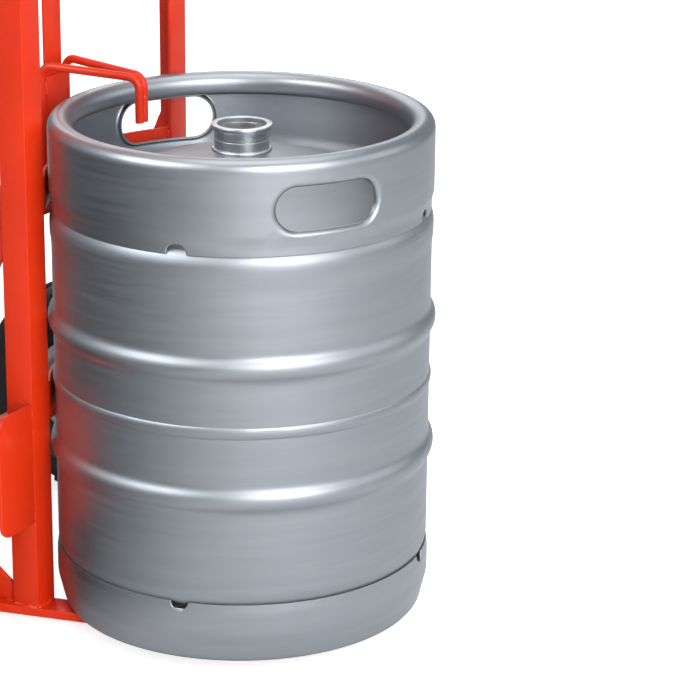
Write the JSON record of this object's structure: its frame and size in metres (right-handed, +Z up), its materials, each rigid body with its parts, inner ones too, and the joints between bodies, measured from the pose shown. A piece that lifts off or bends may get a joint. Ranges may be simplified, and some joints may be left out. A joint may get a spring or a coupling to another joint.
{
  "type": "beverage keg trolley",
  "caption": "Upright two-wheeled trolley of welded angle iron with a sliding rim hook on a rail, holding a steel beverage keg with rolled rims and hand holes.",
  "frame": {"origin": "on the floor, under the middle of the whole object with its keg", "axes": "+Z up, -Y to the front where the keg stands, +X to the right seen from the front"},
  "size_m": [0.5504, 0.6727, 1.1434],
  "materials": {
    "frame_paint": "gloss",
    "keg_steel": "satin",
    "tyre_rubber": "matte",
    "grip_rubber": "matte",
    "valve_rubber": "matte",
    "rim_paint": "satin",
    "zinc": "satin"
  },
  "bodies": {
    "frame": {"base_bar_left": "frame_paint", "upright_left": "frame_paint", "guard_plate_left": "frame_paint", "upper_brace_left": "frame_paint", "lower_brace_left": "frame_paint", "handle_left": "frame_paint", "grip_left": "grip_rubber", "washers_left": "zinc", "base_bar_right": "frame_paint", "upright_right": "frame_paint", "guard_plate_right": "frame_paint", "upper_brace_right": "frame_paint", "lower_brace_right": "frame_paint", "handle_right": "frame_paint", "grip_right": "grip_rubber", "washers_right": "zinc", "toe_crossbar": "frame_paint", "cradle_lower": "frame_paint", "cradle_upper": "frame_paint", "top_crossbar": "frame_paint", "rail_strap_lower": "frame_paint", "rail_strap_upper": "frame_paint", "rail": "frame_paint", "axle_tube": "frame_paint", "axle": "zinc", "split_pins": "zinc"},
    "hook": {"hook_sleeve": "frame_paint", "hook_rod_left": "frame_paint", "hook_rod_right": "frame_paint"},
    "wheel_left": {"tyre_left": "tyre_rubber", "inner_tube_left": "valve_rubber", "rim_outer_left": "rim_paint", "rim_inner_left": "rim_paint", "hub_left": "zinc", "bearings_left": "zinc", "rim_bolts_left": "zinc", "tyre_valve_left": "valve_rubber"},
    "wheel_right": {"tyre_right": "tyre_rubber", "inner_tube_right": "valve_rubber", "rim_outer_right": "rim_paint", "rim_inner_right": "rim_paint", "hub_right": "zinc", "bearings_right": "zinc", "rim_bolts_right": "zinc", "tyre_valve_right": "valve_rubber"},
    "keg": {"keg_lower_shell": "keg_steel", "keg_upper_shell": "keg_steel", "keg_top_chime": "keg_steel", "keg_foot_chime": "keg_steel", "keg_neck": "keg_steel", "spear_body": "keg_steel", "spear_tube": "keg_steel", "spear_spring": "keg_steel"},
    "valve": {"spear_valve": "valve_rubber"}
  },
  "joints": [
    {"name": "wheel_left_spin", "type": "hinge", "parent": "frame", "child": "wheel_left", "pos_m": [-0.2175, 0.20643, 0.13], "axis": [1, 0, 0], "continuous": true},
    {"name": "wheel_right_spin", "type": "hinge", "parent": "frame", "child": "wheel_right", "pos_m": [0.2175, 0.20643, 0.13], "axis": [1, 0, 0], "continuous": true},
    {"name": "keg_pull_off", "type": "slide", "parent": "frame", "child": "keg", "axis": [0, -1, 0], "range_m": [0, 0.4]},
    {"name": "hook_lift", "type": "slide", "parent": "frame", "child": "hook", "axis": [0, 0, 1], "range_m": [0, 0.2]},
    {"name": "valve_press", "type": "slide", "parent": "keg", "child": "valve", "axis": [0, 0, -1], "range_m": [0, 0.006], "stiffness_N_per_m": 1500, "springref_m": -0.001, "deforming": ["spear_spring"]}
  ],
  "couplings": [
    {"joint": "hook_lift", "follows": "keg_pull_off", "ratio": 0.5}
  ]
}
